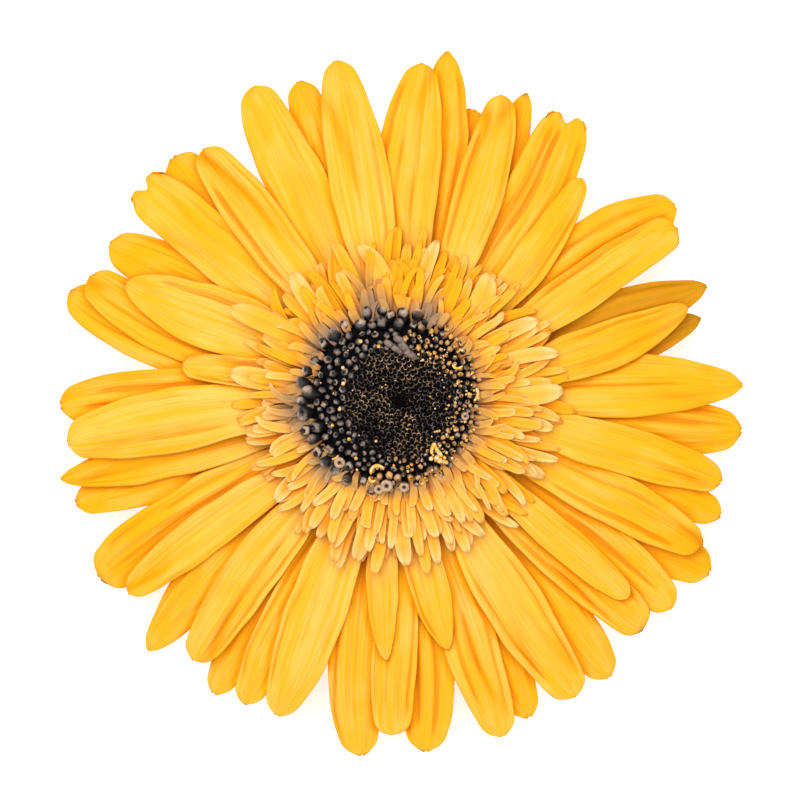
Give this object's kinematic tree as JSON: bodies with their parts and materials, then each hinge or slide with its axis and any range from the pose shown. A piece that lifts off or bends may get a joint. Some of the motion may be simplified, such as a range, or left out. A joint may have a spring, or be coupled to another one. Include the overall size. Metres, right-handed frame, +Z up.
{
  "type": "preserved_gerbera_daisy",
  "caption": "Preserved golden gerbera daisy head with overlapping ray petals, short peach florets and a near-black disc, resting face up on its cut receptacle",
  "frame": {"origin": "centre of the flat cut face under the receptacle, on the flower's axis", "axes": "X and Y across the head as it is seen from above, with petal_01 near +X; Z up the flower's axis, out of its face"},
  "size_m": [0.0977, 0.1008, 0.0186],
  "materials": {
    "petal_gold": "satin dried petal",
    "short_floret_peach": "satin dried floret",
    "disc_dark": "dried buds, slightly glossy",
    "open_disc_grey": "dried florets, slightly glossy",
    "bract_olive": "matte dried scale",
    "receptacle_straw": "matte dried pith"
  },
  "bodies": {
    "root": {"bract_row_inner": "bract_olive", "bract_row_middle": "bract_olive", "bract_row_outer": "bract_olive", "disc_buds": "disc_dark", "open_disc_florets": "open_disc_grey", "petal_01": "petal_gold", "petal_02": "petal_gold", "petal_03": "petal_gold", "petal_04": "petal_gold", "petal_05": "petal_gold", "petal_06": "petal_gold", "petal_07": "petal_gold", "petal_08": "petal_gold", "petal_09": "petal_gold", "petal_10": "petal_gold", "petal_11": "petal_gold", "petal_12": "petal_gold", "petal_13": "petal_gold", "petal_14": "petal_gold", "petal_15": "petal_gold", "petal_16": "petal_gold", "petal_17": "petal_gold", "petal_18": "petal_gold", "petal_19": "petal_gold", "petal_20": "petal_gold", "petal_21": "petal_gold", "petal_22": "petal_gold", "petal_23": "petal_gold", "petal_24": "petal_gold", "petal_25": "petal_gold", "petal_26": "petal_gold", "petal_27": "petal_gold", "petal_28": "petal_gold", "petal_29": "petal_gold", "petal_30": "petal_gold", "petal_31": "petal_gold", "petal_32": "petal_gold", "petal_33": "petal_gold", "petal_34": "petal_gold", "petal_35": "petal_gold", "petal_36": "petal_gold", "petal_37": "petal_gold", "petal_38": "petal_gold", "petal_39": "petal_gold", "petal_40": "petal_gold", "petal_41": "petal_gold", "petal_42": "petal_gold", "petal_43": "petal_gold", "petal_44": "petal_gold", "petal_45": "petal_gold", "petal_46": "petal_gold", "petal_47": "petal_gold", "petal_48": "petal_gold", "petal_49": "petal_gold", "petal_50": "petal_gold", "petal_51": "petal_gold", "petal_52": "petal_gold", "receptacle": "receptacle_straw", "short_floret_ring_inner": "short_floret_peach", "short_floret_ring_outer": "short_floret_peach"}
  },
  "joints": []
}
